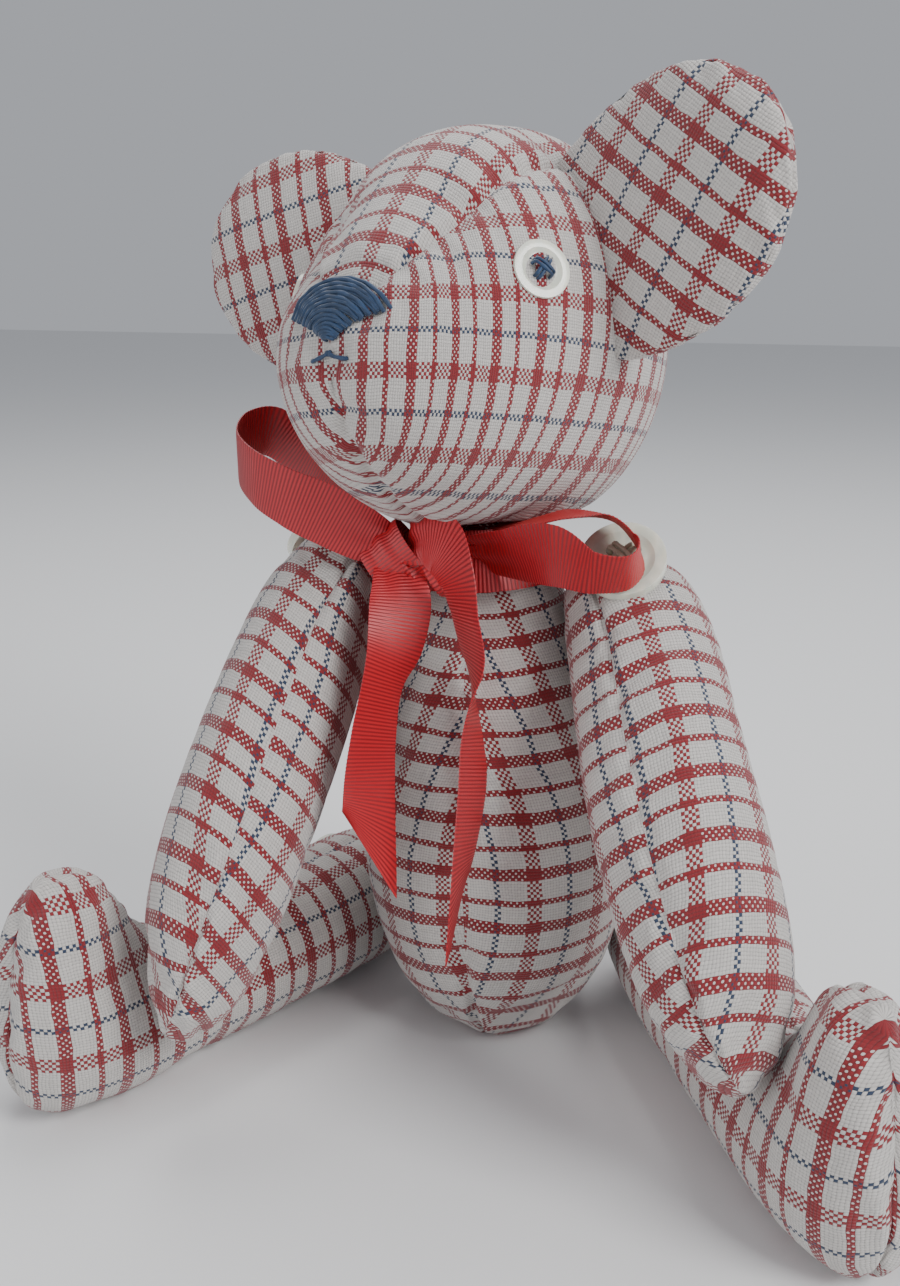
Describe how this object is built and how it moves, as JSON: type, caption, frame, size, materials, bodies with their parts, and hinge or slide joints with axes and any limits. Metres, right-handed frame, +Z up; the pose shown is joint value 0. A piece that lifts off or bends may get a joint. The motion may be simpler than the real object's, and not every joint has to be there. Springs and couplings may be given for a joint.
{
  "type": "jointed teddy bear",
  "caption": "Sitting jointed teddy bear sewn from woven check cloth, firmly stuffed, with button joints, button eyes, a stitched nose and a ribbon bow.",
  "frame": {"origin": "middle of the bear's box, on the surface it sits on", "axes": "+Z up, the bear faces -Y, its own left side is +X"},
  "size_m": [0.2102, 0.1382, 0.2383],
  "materials": {
    "check_cloth": "matte",
    "wadding": "matte",
    "pearl_button": "gloss",
    "navy_thread": "satin",
    "strong_thread": "matte",
    "fibreboard": "matte",
    "steel": "polished",
    "red_ribbon": "satin"
  },
  "bodies": {
    "torso": {"body_panel_left": "check_cloth", "body_panel_right": "check_cloth", "body_stuffing": "wadding", "neck_disc_body": "fibreboard", "neck_washer_body": "steel", "neck_split_pin": "steel", "shoulder_axle_thread": "strong_thread", "hip_axle_thread": "strong_thread", "ribbon_bow": "red_ribbon"},
    "head": {"head_gusset": "check_cloth", "head_side_left": "check_cloth", "head_side_right": "check_cloth", "head_stuffing": "wadding", "neck_disc_head": "fibreboard", "neck_washer_head": "steel", "ear_left_front": "check_cloth", "ear_left_back": "check_cloth", "ear_left_wadding": "wadding", "ear_right_front": "check_cloth", "ear_right_back": "check_cloth", "ear_right_wadding": "wadding", "eye_button_left": "pearl_button", "eye_thread_left": "navy_thread", "eye_button_right": "pearl_button", "eye_thread_right": "navy_thread", "nose_stitching": "navy_thread", "mouth_stitching": "navy_thread"},
    "arm_left": {"arm_left_outer_panel": "check_cloth", "arm_left_inner_panel": "check_cloth", "arm_left_stuffing": "wadding", "shoulder_button_left": "pearl_button", "shoulder_button_thread_left": "strong_thread"},
    "leg_left": {"leg_left_outer_panel": "check_cloth", "leg_left_inner_panel": "check_cloth", "leg_left_stuffing": "wadding", "hip_button_left": "pearl_button", "hip_button_thread_left": "strong_thread"},
    "arm_right": {"arm_right_outer_panel": "check_cloth", "arm_right_inner_panel": "check_cloth", "arm_right_stuffing": "wadding", "shoulder_button_right": "pearl_button", "shoulder_button_thread_right": "strong_thread"},
    "leg_right": {"leg_right_outer_panel": "check_cloth", "leg_right_inner_panel": "check_cloth", "leg_right_stuffing": "wadding", "hip_button_right": "pearl_button", "hip_button_thread_right": "strong_thread"}
  },
  "joints": [
    {"name": "neck_turn", "type": "hinge", "parent": "torso", "child": "head", "pos_m": [-0.00973, 0.02124, 0.13774], "axis": [-0.061, 0, 0.9981], "continuous": true, "deforming": ["ribbon_bow"]},
    {"name": "shoulder_swing_left", "type": "hinge", "parent": "torso", "child": "arm_left", "pos_m": [0.02856, 0.02078, 0.11713], "axis": [-0.7332, 0.3419, -0.5878], "range_deg": [0, 38]},
    {"name": "shoulder_swing_right", "type": "hinge", "parent": "torso", "child": "arm_right", "pos_m": [-0.04402, 0.01985, 0.11872], "axis": [-0.7332, -0.3419, 0.5878], "range_deg": [0, 38]},
    {"name": "hip_swing_left", "type": "hinge", "parent": "torso", "child": "leg_left", "pos_m": [0.04029, 0.03925, 0.02], "axis": [0.866, 0.5, 0], "range_deg": [0, 95]},
    {"name": "hip_swing_right", "type": "hinge", "parent": "torso", "child": "leg_right", "pos_m": [-0.04813, 0.03707, 0.02], "axis": [0.9063, -0.4226, 0], "range_deg": [0, 95]}
  ]
}
